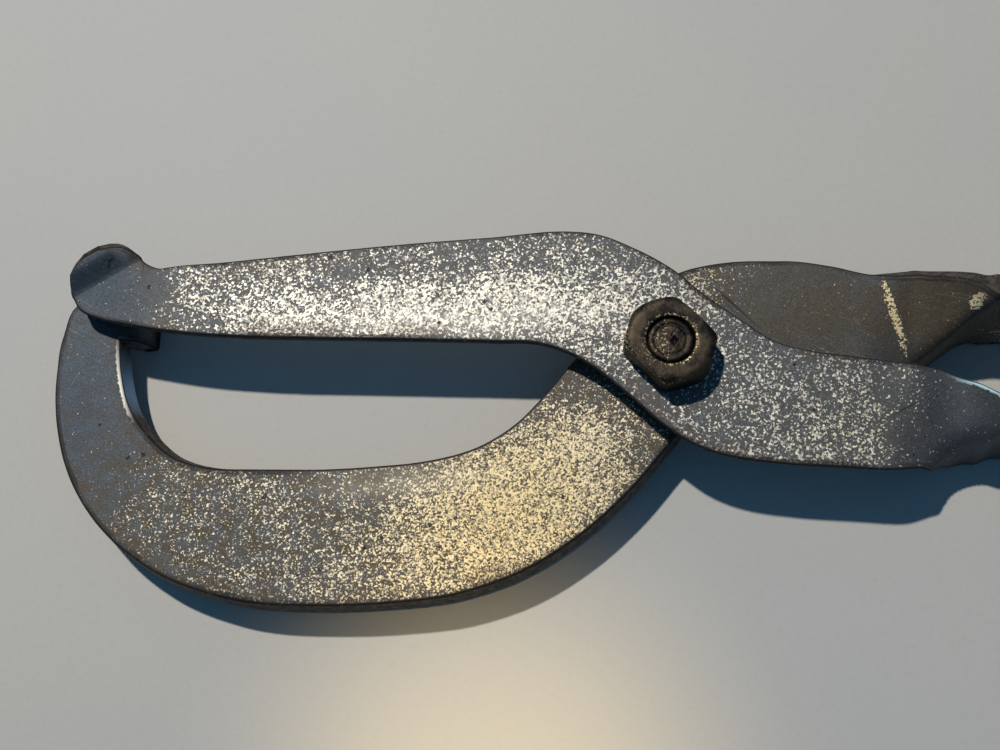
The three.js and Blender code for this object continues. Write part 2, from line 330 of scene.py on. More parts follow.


# Bare plate steel. A spot is (centre mm, reach mm, turn in degrees, raggedness, strength)
# and a mark is (x, y, size) in mm on the upper face. Some spots add painted glints where the
# lamps' highlight would fall; others paint a blue sky reflection with fewer glints, a warm
# reflection, pale highlights on faces, walls and edges, and painted shade that blackens the steel.
hookSteelLook = {
    "grey": (0.114, 0.124, 0.136, 1),
    "brown": (0.108, 0.106, 0.100, 1),
    "blue": (0.052, 0.074, 0.100, 1),
    "glint": (1.0, 0.965, 0.85, 1),
    "glintWarm": (1.0, 0.90, 0.64, 1),
    "glitter": 0.49,
    "grainSize": 2500.0,
    "roughness": 0.56,
    "faceZ": 14.32,
    "highlightGlints": [
        ((-42, 8, 14), (60, 8.5, 40), -2, 0.6, 0.40), ((-18, 6, 14), (24, 16, 40), 0, 0.5, 0.28),
    ],
    "bare": [
        ((-104, 12, 18), (18, 16, 40), 30, 0.5, 0.95), ((54, -14, 12), (26, 24, 40), 0, 0.4, 0.50),
    ],
    "paintedHighlight": [
        ((-38, 5.2, 14), (42, 5.0, 40), -1, 0.5, 0.45),
        ((-99.3, 19.3, 15), (2.6, 3.4, 6), -20, 0.15, 0.7),
    ],
    "warmReflection": [((34, -14, 12), (30, 14, 40), 0, 0.5, 0.7)],
    "lines": [
        # the lines at the curled tip are painted shadow where its edge meets the plate
        ((-101.4, 15.7, 16), (0.32, 1.5, 3), 12, 0.3, 0.95),
        ((-100.9, 16.6, 16), (0.9, 0.30, 3), -35, 0.3, 0.9),
        ((-95.4, 16.0, 14), (0.22, 3.0, 3), 0, 0.3, 0.45),
        ((39.6, -10.8, 14), (4.6, 0.28, 9), -28, 0.3, 0.6),
    ],
    "marks": [
        (-31.2, 7.4, 0.7), (-32.4, 8.6, 0.5), (-51.2, 9.6, 0.65), (-53.7, 14.9, 0.7),
        (-60.8, 17.4, 0.8), (-80.1, 16.2, 0.5), (-93.9, 11.9, 0.5), (-103.6, 16.2, 0.45),
        (-102.7, 16.6, 0.4), (24.5, -11.0, 0.5),
    ],
    "wallHighlight": [
        ((56, -6.5, 17), (13, 5.5, 9), 0, 0.2, 1.3), ((20, 2.0, 13), (12, 2.5, 9), 25, 0.3, 0.5),
    ],
    "edgeHighlightSpots": [((57, -7.0, 17), (14, 5, 9), 0, 0.2, 1.2)],
    "edgeHighlightColour": (0.62, 0.94, 1.0, 1),
    "shade": [],
    "wallHighlightColour": (0.50, 0.86, 1.0, 1),
    "creaseHighlight": [],
}
clawSteelLook = {
    "grey": (0.104, 0.112, 0.118, 1),
    "brown": (0.100, 0.082, 0.056, 1),
    "blue": (0.062, 0.096, 0.136, 1),
    "glint": (1.0, 0.93, 0.74, 1),
    "glintWarm": (1.0, 0.79, 0.40, 1),
    "glitter": 0.36,
    "grainSize": 3000.0,
    "roughness": 0.56,
    "faceZ": 9.26,
    "highlightGlints": [
        ((-38, -31, 9), (44, 24, 40), -18, 0.5, 0.55), ((-18, -20, 9), (26, 20, 40), -45, 0.4, 0.45),
    ],
    "bare": [
        ((-108, -4, 9), (26, 42, 40), 0, 0.4, 0.62), ((36, 8, 9), (32, 24, 40), 0, 0.4, 0.80),
    ],
    "paintedHighlight": [((-46, -23, 9), (24, 5, 40), -4, 0.5, 0.35)],
    "warmReflection": [
        ((-28, -28, 9), (44, 28, 40), -25, 0.4, 0.9), ((28, 8, 9), (30, 18, 40), 0, 0.4, 0.9),
        ((48, 8, 12), (16, 16, 40), 0, 0.4, 0.9),
    ],
    "lines": [
        ((12.2, 9.8, 9.3), (8.6, 0.42, 9), 44.5, 0.25, 0.85),
        ((11.6, 9.2, 9.3), (7.6, 0.25, 9), 43, 0.25, 0.4),
        ((-101, 1.0, 9.3), (4.0, 0.25, 9), -22, 0.5, 0.5),
    ],
    "marks": [
        (-71.0, -25.8, 0.75), (-74.5, -26.3, 0.6), (-96.5, -18.9, 0.6), (-93.8, -18.3, 0.7),
        (-102.3, -12.8, 0.45), (-52.7, -34.6, 0.6), (-42.1, -35.2, 0.6), (-39.6, -34.4, 0.6),
        (-41.4, -30.5, 0.65), (-37.1, -29.2, 0.6), (-18.3, -25.4, 0.55), (-16.3, -21.5, 0.55),
        (-60.5, -38.5, 0.5), (-29.0, -33.0, 0.5),
    ],
    "wallHighlight": [
        ((-98.6, -5.5, 6), (3.2, 10.5, 9), -6, 0.2, 1.0), ((-97.0, 6, 4), (2.0, 5, 6), 0, 0.3, 0.35),
    ],
    "edgeHighlightSpots": [((-99.3, -6.0, 9), (3.2, 13, 9), -6, 0.3, 0.95)],
    "edgeHighlightColour": (1.0, 0.96, 0.86, 1),
    "shade": [((-97.3, 6.0, 1.2), (4.5, 9.0, 5.2), 0, 0.2, 1.2)],
    "wallHighlightColour": (0.42, 0.66, 0.92, 1),
    "creaseHighlight": [
        ((40.1, 7.6, 10), (1.8, 14.0, 40), -17, 0.45, 1.35),
        ((52.2, 7.6, 16), (1.9, 1.9, 30), 20, 0.4, 1.8),
    ],
}


def makePlateSteel(name, look):
    material, tree, shader, where = newMaterial(name)
    rim = pointValue(tree, "rim")
    wall = pointValue(tree, "wall")

    def gather(spots, start=0.0):
        total = start
        for spot in spots:
            strong = calc(tree, "MULTIPLY", spotMask(tree, where, spot), spot[4])
            total = calc(tree, "ADD", total, strong)
        return total

    def markMask(marks):
        # the largest of the marks' own falls from centre to edge, at a place frayed by noise
        fray = place(tree, "ShaderNodeTexNoise", {"Vector": where, "Scale": 1900.0, "Detail": 2.0})
        pushed = place(tree, "ShaderNodeVectorMath", {
            0: fray.outputs["Color"], 1: (0.0011, 0.0011, 0.0), 2: where,
        }, operation="MULTIPLY_ADD").outputs[0]
        total = 0.0
        for x, y, size in marks:
            centre = ((x + 0.55) * mm, (y + 0.55) * mm, look["faceZ"] * mm)
            away = place(tree, "ShaderNodeVectorMath", {0: pushed, 1: centre}, operation="DISTANCE")
            total = calc(tree, "MAXIMUM", total, between(tree, away.outputs["Value"],
                                                         size * 0.72 * mm, size * 0.38 * mm))
        return total

    bare = gather(look["bare"])
    warmReflectionShare = gather(look["warmReflection"])
    paintedHighlight = gather(look["paintedHighlight"])
    # painted highlight along the bend of the handle: more and stronger glints there
    creaseHighlight = gather(look["creaseHighlight"])
    cloud = noise(tree, where, 55.0, 4.0, 0.55)
    # painted glints: more of them where the lamps' highlight falls on the plate
    amount = calc(tree, "SUBTRACT", gather(look["highlightGlints"], look["glitter"]), bare)
    amount = calc(tree, "ADD", amount, calc(tree, "MULTIPLY", calc(tree, "SUBTRACT", cloud, 0.5), 1.0))
    amount = calc(tree, "ADD", amount, creaseHighlight)
    grain = useGroup(tree, glitterGrain, {
        "Vector": where, "Amount": amount, "Size": look["grainSize"],
    })
    wear = useGroup(tree, edgeWearAndShade, {"Vector": where, "Rim": rim, "Wall": wall, "Reach": 0.9})
    pits = useGroup(tree, smallPits, {
        "Vector": where, "Spacing": 420.0, "Chance": 0.14, "Size": 0.08,
    })["Mask"]
    pits = calc(tree, "MAXIMUM", pits, markMask(look["marks"]))
    scratches = useGroup(tree, fineScratches, {"Vector": where, "Heading": 0.5, "Amount": 0.15})["Mask"]

    onTop = between(tree, wall, 0.35, 0.05)
    mottled = blendColour(tree, between(tree, noise(tree, where, 420.0, 3.0, 0.6), 0.35, 0.65),
                          look["grey"], look["brown"])
    # painted reflection: browner steel and warmer glints where the warm lamp is reflected and on the
    # twisting handles
    toned = blendColour(tree, calc(tree, "MINIMUM", warmReflectionShare, 1.0), mottled, look["brown"])
    # painted reflection: the steel turns to the blue of a reflected sky, with fewer glints, where the
    # highlight does not reach
    toned = blendColour(tree, calc(tree, "MULTIPLY", calc(tree, "MINIMUM", bare, 1.0),
                                   calc(tree, "SUBTRACT", 1.0, warmReflectionShare, clamp=True)),
                        toned, look["blue"])
    speckle = between(tree, noise(tree, where, 2900.0, 2.0, 0.7), 0.3, 0.7, 0.72, 1.25)
    toned = blendColour(tree, 1.0, toned, greyOf(tree, speckle), kind="MULTIPLY")
    warmShare = calc(tree, "ADD", calc(tree, "MULTIPLY", warmReflectionShare, 0.8),
                     calc(tree, "MULTIPLY", grain["Tone"], 0.3), clamp=True)
    glintColour = blendColour(tree, warmShare, look["glint"], look["glintWarm"])
    glint = calc(tree, "MULTIPLY", grain["Glint"], onTop)
    glintStrong = calc(tree, "MULTIPLY", glint, between(tree, grain["Tone"], 0.0, 0.7, 0.30, 1.0))
    glintStrong = calc(tree, "ADD", glintStrong, calc(tree, "MULTIPLY", glint, creaseHighlight), clamp=True)
    # painted glints: the grains take the pale glint colour as if they caught the light
    coloured = blendColour(tree, glintStrong, toned, glintColour)
    # painted highlight: pale bands on the upper face and the lit end face of the curled tip
    pale = calc(tree, "MULTIPLY", calc(tree, "MULTIPLY", paintedHighlight, onTop), 0.5)
    coloured = blendColour(tree, pale, coloured, look["glint"])
    coloured = blendColour(tree, calc(tree, "MULTIPLY", scratches, 0.4), coloured, look["glint"])
    coloured = blendColour(tree, calc(tree, "MULTIPLY", wear["Rust"], 0.3), coloured,
                           (0.10, 0.065, 0.04, 1))
    coloured = blendColour(tree, calc(tree, "MULTIPLY", pits, 0.9), coloured, (0.012, 0.010, 0.012, 1))
    # dark lines on the upper face; those at the hook's curled tip are painted shadow
    lines = calc(tree, "MULTIPLY", gather(look["lines"]), onTop, clamp=True)
    coloured = blendColour(tree, lines, coloured, (0.012, 0.011, 0.011, 1))
    side = between(tree, wall, 0.25, 0.75)
    sideTone = blendColour(tree, between(tree, noise(tree, where, 800.0, 3.0, 0.6), 0.40, 0.64),
                           (0.040, 0.036, 0.034, 1), (0.105, 0.088, 0.070, 1))
    # near-black on the rounding next to the wall: painted shade and dark reflection, with some oxide
    sideTone = blendColour(tree, between(tree, wall, 0.97, 0.80), sideTone, (0.012, 0.011, 0.011, 1))
    sideTone = blendColour(tree, calc(tree, "MULTIPLY", wear["Bright"], 0.22), sideTone,
                           (0.45, 0.40, 0.32, 1))
    # painted highlight: a pale blue sheen on parts of the side walls
    wallHighlight = calc(tree, "MULTIPLY", gather(look["wallHighlight"]), between(tree, wall, 0.8, 1.0), clamp=True)
    sideTone = blendColour(tree, calc(tree, "MULTIPLY", wallHighlight, 0.85), sideTone, look["wallHighlightColour"])
    # painted shade and dark reflection on the rounded corner, with some oxide
    rimOxideAndShade = calc(tree, "MULTIPLY", wear["Dark"], between(tree, cloud, 0.40, 0.60, 0.15, 0.75))
    coloured = blendColour(tree, rimOxideAndShade, coloured, (0.020, 0.018, 0.018, 1))
    coloured = blendColour(tree, side, coloured, sideTone)
    ragged = noise(tree, where, 1500.0, 2.0, 0.6)
    # painted highlight: a pale line along the rounded top edge
    edgeHighlight = calc(tree, "MULTIPLY", gather(look["edgeHighlightSpots"]),
                 between(tree, calc(tree, "ADD", rim, ragged), 0.88, 0.62), clamp=True)
    edgeHighlight = calc(tree, "MULTIPLY", edgeHighlight, between(tree, wall, 0.75, 0.35))
    coloured = blendColour(tree, edgeHighlight, coloured, look["edgeHighlightColour"])
    # painted shade: the finger under the hook arm blackened
    coloured = blendColour(tree, gather(look["shade"]), coloured, (0.006, 0.006, 0.007, 1))
    feed(tree, shader.inputs["Base Color"], coloured)
    white = calc(tree, "MAXIMUM", calc(tree, "MAXIMUM", glintStrong, pale),
                 calc(tree, "MAXIMUM", edgeHighlight, calc(tree, "MULTIPLY", wallHighlight, side)))
    feed(tree, shader.inputs["Metallic"],
         calc(tree, "SUBTRACT", 0.50, calc(tree, "MULTIPLY", white, 0.22), clamp=True))
    rough = calc(tree, "ADD", look["roughness"], calc(tree, "MULTIPLY", cloud, 0.12))
    rough = calc(tree, "ADD", rough, calc(tree, "MULTIPLY", side, 0.15))
    rough = calc(tree, "SUBTRACT", rough, calc(tree, "MULTIPLY", glintStrong, 0.12))
    feed(tree, shader.inputs["Roughness"], rough)
    relief = calc(tree, "ADD", calc(tree, "MULTIPLY", grain["Height"], onTop),
                  calc(tree, "MULTIPLY", calc(tree, "MAXIMUM", pits, lines), -0.9))
    sideRelief = calc(tree, "MULTIPLY", noise(tree, where, 1300.0, 3.0, 0.6), wall)
    bump = place(tree, "ShaderNodeBump", {
        "Height": calc(tree, "ADD", relief, calc(tree, "MULTIPLY", sideRelief, 0.35)),
        "Strength": 0.5, "Distance": 0.0001,
    })
    feed(tree, shader.inputs["Normal"], bump.outputs[0])
    return material


darkSteelLook = {
    "bronze": (0.066, 0.052, 0.036, 1),
    "black": (0.012, 0.011, 0.011, 1),
    "rubbedAndGlint": (0.80, 0.64, 0.36, 1),
    "roughness": 0.42,
}


def makeDarkSteel(name, look):
    material, tree, shader, where = newMaterial(name)
    rubAndGlint = pointValue(tree, "rubAndGlint")
    cloud = noise(tree, where, 320.0, 4.0, 0.6)
    fine = noise(tree, where, 2600.0, 3.0, 0.65)
    base = blendColour(tree, between(tree, cloud, 0.38, 0.62), look["black"], look["bronze"])
    raised = calc(tree, "ADD", fine, calc(tree, "MULTIPLY", rubAndGlint, 0.28))
    # rubbed metal and painted glints on the raised grain
    rubAndGlintShare = calc(tree, "MULTIPLY", between(tree, raised, 0.68, 0.80), calc(tree, "ADD", rubAndGlint, 0.05))
    base = blendColour(tree, rubAndGlintShare, base, look["rubbedAndGlint"])
    feed(tree, shader.inputs["Base Color"], base)
    shader.inputs["Metallic"].default_value = 0.85
    feed(tree, shader.inputs["Roughness"],
         calc(tree, "ADD", look["roughness"], calc(tree, "MULTIPLY", cloud, 0.2)))
    bump = place(tree, "ShaderNodeBump", {
        "Height": calc(tree, "ADD", fine, cloud), "Strength": 0.5, "Distance": 0.0001,
    })
    feed(tree, shader.inputs["Normal"], bump.outputs[0])
    return material


# Millimetres: the bar stock, the middle heights of its parts, and the two heights that
# every ring of the arms stays between.
plate = {
    "thickness": 4.76, "gripDepth": 19.2, "gripZ": 9.8, "clawZ": 6.88, "hookZ": 11.94,
    "lowest": 0.03, "highest": 19.8,
}
handleEnd = 232.0
boreRadius = 4.3


def edgeRow(ax, ay, bx, by, z, fold=0.0, roll=0.0, thickness=plate["thickness"],
            bendAt=-9.6, bendBy=0.0):
    # the bar's two edges in plan, the middle height, the two turns and the thickness, then
    # where across the bar its first side is bent down and by how many degrees
    return [ax, ay, bx, by, z, fold, roll, thickness, bendAt, bendBy]


def gripRow(x, y, z, roll, depth=plate["gripDepth"], thickness=plate["thickness"]):
    # a row square to the handle, from the place of its middle
    return edgeRow(x, y - depth / 2, x, y + depth / 2, z, 0.0, roll, thickness)


def bentRow(x, y, z, roll, bendAt, bendBy, depth=plate["gripDepth"]):
    return edgeRow(x, y - depth / 2, x, y + depth / 2, z, 0.0, roll, plate["thickness"],
                   bendAt, bendBy)


def smoothRows(rows, spacing):
    # cubic curves through the rows; the slope at a row is the mean of the slopes on both
    # sides weighted by distance, or zero where the value turns or is level
    rows = np.array(rows, float)
    middle = np.column_stack(((rows[:, 0] + rows[:, 2]) / 2, (rows[:, 1] + rows[:, 3]) / 2, rows[:, 4]))
    steps = np.linalg.norm(np.diff(middle, axis=0), axis=1)
    chord = np.diff(rows, axis=0) / steps[:, None]
    weight = (steps[:-1] / (steps[:-1] + steps[1:]))[:, None]
    inner = chord[:-1] * (1 - weight) + chord[1:] * weight
    inner[chord[:-1] * chord[1:] <= 0] = 0
    slopes = np.vstack((chord[:1], inner, chord[-1:]))
    turns = np.abs(np.diff(rows[:, 5:7], axis=0)).sum(1)
    counts = np.ceil(np.maximum(steps / spacing, turns / 4)).astype(int)
    leg = np.repeat(np.arange(len(counts)), counts)
    within = np.arange(counts.sum()) - np.repeat(np.cumsum(counts) - counts, counts)
    t = (within / counts[leg])[:, None]
    reach = steps[leg][:, None]
    fine = (1 + 2 * t) * (1 - t) ** 2 * rows[leg] + t * t * (3 - 2 * t) * rows[leg + 1]
    fine += t * (1 - t) ** 2 * reach * slopes[leg] + t * t * (t - 1) * reach * slopes[leg + 1]
    return np.vstack((fine, rows[-1:]))


def sectionTemplate(across=26, below=8, arc=6, side=5):
    # Each row says how one point of the section mixes upper half width, lower half width,
    # upper rounding and lower rounding (sideways), then half thickness and the two
    # roundings (upwards), then its share of wall and its place across.
    quarter = np.linspace(0, np.pi / 2, arc)
    flat = np.linspace(1, -1, across + 2)[1:-1]
    lowFlat = np.linspace(-1, 1, below + 2)[1:-1]
    down = np.linspace(0, 1, side + 2)[1:-1]

    def rows(w, low, r, rb, h, dr, db, wall, q):
        columns = (w, low, r, rb, h, dr, db, wall, q)
        size = max(np.size(column) for column in columns)
        return np.column_stack([np.broadcast_to(column, size) for column in columns])

    cosines, sines = np.cos(quarter), np.sin(quarter)
    return np.vstack((
        rows(1, 0, cosines - 1, 0, 1, sines - 1, 0, cosines, 1),
        rows(flat, 0, -flat, 0, 1, 0, 0, 0, flat),
        rows(-1, 0, 1 - sines, 0, 1, cosines - 1, 0, sines, -1),
        rows(down - 1, -down, 0, 0, 1 - 2 * down, down - 1, down, 1, -1),
        rows(0, -1, 0, 1 - cosines, -1, 0, 1 - sines, cosines, -1),
        rows(0, lowFlat, 0, -lowFlat, -1, 0, 0, 0, lowFlat),
        rows(0, 1, 0, sines - 1, -1, 0, 1 - cosines, sines, 1),
        rows(down, 1 - down, 0, 0, 2 * down - 1, -down, 1 - down, 1, 1),
    ))


def bendSide(sideways, upwards, bendAt, bendBy):
    # The bar's middle line is walked from its second side: the heading turns smoothly by
    # bendBy round bendAt, side = sum of cosines, rise = sum of sines of the heading. A
    # point off the line moves along the line's own normal.
    reach = 1.9                             # mm of curve on each side of the bend line
    grid = np.linspace(-14, 14, 561)
    step = grid[1] - grid[0]
    share = np.clip((bendAt[:, None] + reach - grid) / (2 * reach), 0, 1)
    heading = np.radians(bendBy)[:, None] * share * share * (3 - 2 * share)
    cosines, sines = np.cos(heading), np.sin(heading)
    lineSide = grid[-1] - np.cumsum(cosines[:, ::-1], 1)[:, ::-1] * step + cosines[:, -1:] * step
    lineRise = -np.cumsum(sines[:, ::-1], 1)[:, ::-1] * step
    position = np.clip((sideways - grid[0]) / step, 0, len(grid) - 1.001)
    low = position.astype(int)
    part = position - low

    def readAt(table):
        # straight-line reading between the two nearest grid places
        first = np.take_along_axis(table, low, 1)
        return first + (np.take_along_axis(table, low + 1, 1) - first) * part

    newSide = readAt(lineSide) - upwards * readAt(sines)
    newRise = readAt(lineRise) + upwards * readAt(cosines)
    return newSide, newRise


def flatBar(name, look):
    # a section carried along the rows: place = centre + across * side + normal * rise
    fine = smoothRows(look["rows"], look["spacing"])
    edgeA, edgeB = fine[:, [0, 1, 4]], fine[:, [2, 3, 4]]
    centre = (edgeA + edgeB) / 2
    halfWidth = np.linalg.norm(edgeB - edgeA, axis=1) / 2
    up = np.tile([0.0, 0.0, 1.0], (len(fine), 1))
    across = unit(edgeB - edgeA)
    along = np.cross(across, up)
    normal = turnAbout(up, across, fine[:, 5])
    acrossTurned = turnAbout(across, along, fine[:, 6])
    normal = turnAbout(normal, along, fine[:, 6])
    halfThick = fine[:, 7] / 2
    run = np.concatenate(([0], np.cumsum(np.linalg.norm(np.diff(centre, axis=0), axis=1))))
    rough = (ripple(run[:, None], [(5, 9), (1.6, 3.5)], look["seed"]) - 1) * look["edgeRough"]
    fade = np.minimum(1, halfWidth / 8) * np.cos(np.radians(fine[:, 6]))
    lowHalf = halfWidth + look["lean"] * fade + rough
    radius = np.minimum(np.minimum(look["rounding"], halfThick * 0.6), halfWidth * 0.4)
    lowRadius = np.minimum(np.minimum(look["lowRounding"], halfThick * 0.6), lowHalf * 0.4)
    template = sectionTemplate()
    sideways = np.column_stack((halfWidth + rough * 0.6, lowHalf, radius, lowRadius)) @ template[:, :4].T
    upwards = np.column_stack((halfThick, radius, lowRadius)) @ template[:, 4:7].T
    sideways, upwards = bendSide(sideways, upwards, fine[:, 8], fine[:, 9])
    points = centre[:, None] + acrossTurned[:, None] * sideways[..., None]
    points = points + normal[:, None] * upwards[..., None]
    sway = ripple(points, [(14, 30), (5, 9)], look["seed"] + 1) * look["sway"]
    points = points + normal[:, None] * (sway * (1 - template[:, 7]))[..., None]
    # a ring that reaches below the table or above the nut is pressed back between the two
    low, high = points[..., 2].min(1), points[..., 2].max(1)
    newLow, newHigh = np.maximum(low, plate["lowest"]), np.minimum(high, plate["highest"])
    stretch = (newHigh - newLow) / (high - low)
    points[..., 2] = newLow[:, None] + (points[..., 2] - low[:, None]) * stretch[:, None]

    # rounded ends: rings that shrink towards the centre while they move on
    def cap(ring, outward, depth):
        angles = np.linspace(0, np.pi / 2, 7)[1:-1]
        middle = ring.mean(0)
        shrink = 1 - (1 - np.cos(angles)) * look["capShare"]
        rings = middle + (ring - middle) * shrink[:, None, None]
        rings = rings + outward * (np.sin(angles) * depth)[:, None, None]
        return rings, middle + outward * depth

    firstDir = unit(centre[0] - centre[1])
    lastDir = unit(centre[-1] - centre[-2])
    firstRings, firstTip = cap(points[0], firstDir, look["capDepth"][0])
    lastRings, lastTip = cap(points[-1], lastDir, look["capDepth"][1])
    rings = np.concatenate((firstRings[::-1], points, lastRings))
    sides = len(template)
    count = len(rings)
    vertices = np.vstack((rings.reshape(-1, 3), firstTip, lastTip)) * mm
    tips = np.arange(sides)
    nextTips = (tips + 1) % sides
    base = (count - 1) * sides
    fans = [
        np.column_stack((np.full(sides, count * sides), nextTips, tips)),
        np.column_stack((np.full(sides, count * sides + 1), base + tips, base + nextTips)),
    ]
    piece = meshFrom(name, vertices, [gridFaces(count, sides)] + fans)
    lead = len(firstRings)
    halfAll = np.pad(halfWidth - radius, (lead, len(lastRings)), "edge")
    rim = halfAll[:, None] * (1 - np.abs(template[:, 8]))
    endAway = np.abs(np.arange(count) - (count - 1) / 2) > (count - 1) / 2 - lead
    wallShare = np.where(endAway[:, None], 0.8, template[:, 7])
    storeAttribute(piece, "rim", np.append(rim.ravel(), [0, 0]))
    storeAttribute(piece, "wall", np.append(wallShare.ravel(), [1, 1]))
    return piece


def drillHole(piece, radius, low, high):
    # cuts a round hole on the pivot axis and keeps the result as the piece's own mesh
    sides = 64
    angles = np.arange(sides) * 2 * np.pi / sides
    ring = np.column_stack((np.cos(angles) * radius, np.sin(angles) * radius))
    vertices = np.vstack((
        np.column_stack((ring, np.full(sides, low))), np.column_stack((ring, np.full(sides, high))),
    )) * mm
    caps = [np.arange(sides)[::-1][None], (np.arange(sides) + sides)[None]]
    cutter = meshFrom("holeCutter", vertices, [gridFaces(2, sides)] + caps, smooth=False)
    modifier = piece.modifiers.new("hole", "BOOLEAN")
    modifier.object = cutter
    modifier.operation = "DIFFERENCE"
    modifier.solver = "EXACT"
    bpy.context.view_layer.update()
    cut = bpy.data.meshes.new_from_object(piece.evaluated_get(bpy.context.evaluated_depsgraph_get()))
    piece.modifiers.clear()
    piece.data = cut
    cut.set_sharp_from_angle(angle=math.radians(40))
    bpy.data.objects.remove(cutter)


fingerX = -97.7
fingerInnerY = 3.3
clawZ = plate["clawZ"]
hookZ = plate["hookZ"]
gripZ = plate["gripZ"]

clawArm = {
    "spacing": 0.9,
    "seed": 11,
    "lean": 0.7,
    "rounding": 0.60,
    "lowRounding": 0.45,
    "edgeRough": 0.05,
    "sway": 0.03,
    "capShare": 0.75,
    "capDepth": (0.0, 0.9),
    "rows": [
        edgeRow(fingerX + 0.4, 8.2, fingerX + 0.4, 4.6, 0.05, -90, 0, 1.6),
        edgeRow(fingerX + 0.1, 10.2, fingerX + 0.1, 4.0, 1.6, -90, 0, 2.7),
        edgeRow(fingerX, 12.0, fingerX, fingerInnerY, 4.0, -84, 0, 3.6),
        edgeRow(-98.9, 12.8, -98.9, fingerInnerY, 6.1, -42, 0, 4.5),
        edgeRow(-101.2, 13.1, -100.5, fingerInnerY, clawZ),
        edgeRow(-105.5, 12.8, -100.4, 3.3, clawZ),
        edgeRow(-109.5, 10.2, -100.3, 3.1, clawZ),
        edgeRow(-111.4, 4.3, -100.1, 1.4, clawZ),
        edgeRow(-111.8, -3.2, -99.3, -3.1, clawZ),
        edgeRow(-110.3, -14.2, -97.1, -9.5, clawZ),
        edgeRow(-106.6, -23.5, -93.2, -14.6, clawZ),
        edgeRow(-100.0, -32.0, -88.5, -18.4, clawZ),
        edgeRow(-89.9, -39.1, -82.5, -20.3, clawZ),
        edgeRow(-77.6, -43.4, -75.1, -20.7, clawZ),
        edgeRow(-63.0, -44.7, -64.1, -20.7, clawZ),
        edgeRow(-48.6, -44.1, -52.1, -20.1, clawZ),
        edgeRow(-36.0, -42.3, -41.8, -18.9, clawZ),
        edgeRow(-25.4, -38.5, -34.0, -16.7, clawZ),
        edgeRow(-15.4, -32.2, -27.0, -12.4, clawZ),
        edgeRow(-7.0, -24.6, -21.1, -6.2, clawZ),
        edgeRow(-0.2, -16.6, -15.6, 0.5, clawZ),
        edgeRow(5.2, -10.2, -10.0, 6.4, clawZ),
        edgeRow(10.2, -6.4, -4.0, 11.8, clawZ),
        edgeRow(15.2, -4.4, 2.6, 16.1, clawZ),
        edgeRow(20.4, -3.6, 11.2, 18.0, clawZ, 0, 1),
        edgeRow(26.0, -3.4, 21.0, 18.1, clawZ + 0.1, 0, 4),
        edgeRow(31.6, -3.4, 29.8, 16.9, clawZ + 0.3, 0, 7),
        edgeRow(36.0, -3.6, 36.0, 15.3, clawZ + 0.6, 0, 9),
        bentRow(40.5, 5.6, 7.4, 16, -9.6, 2),
        bentRow(44.0, 5.75, 7.6, 20, -4.6, 52),
        bentRow(46.0, 5.27, 8.5, 21, -2.2, 55),
        bentRow(48.0, 4.7, 9.85, 22, -0.1, 58),
        bentRow(50.0, 4.15, 11.05, 25, 2.1, 57),
        bentRow(52.0, 3.7, 11.85, 33, 4.6, 50),
        bentRow(54.0, 4.25, 11.25, 49, 6.8, 34, 18.7),
        bentRow(56.5, 7.7, 9.98, 80, 9.0, 3, 19.0),
        gripRow(60.0, 8.05, 9.93, 84),
        gripRow(63.0, 8.1, 9.9, 84),
        gripRow(82.0, 9.8, 9.85, 88),
        gripRow(112.0, 14.8, gripZ, 90),
        gripRow(150.0, 20.0, gripZ, 90),
        gripRow(188.0, 21.75, gripZ, 90),
        gripRow(handleEnd - 18, 20.7, gripZ, 90, 18),
        gripRow(handleEnd - 7, 19.9, gripZ, 90, 15),
        gripRow(handleEnd - 1.8, 19.5, gripZ, 90, 10.5, 4.4),
        gripRow(handleEnd - 0.9, 19.3, gripZ, 90, 7.5, 3.4),
    ],
}

foldOrigin = np.array([-106.7, 10.5])
foldHeading = math.radians(32)


def spurRow(fromAlong, toAlong, beyond, z, fold, thickness=plate["thickness"]):
    # places along the fold line, moved beyond it at a right angle
    line = np.array([math.cos(foldHeading), math.sin(foldHeading)])
    out = np.array([-line[1], line[0]]) * beyond
    start = foldOrigin + line * fromAlong + out
    stop = foldOrigin + line * toAlong + out
    return edgeRow(*start, *stop, z, fold, 0.0, thickness)


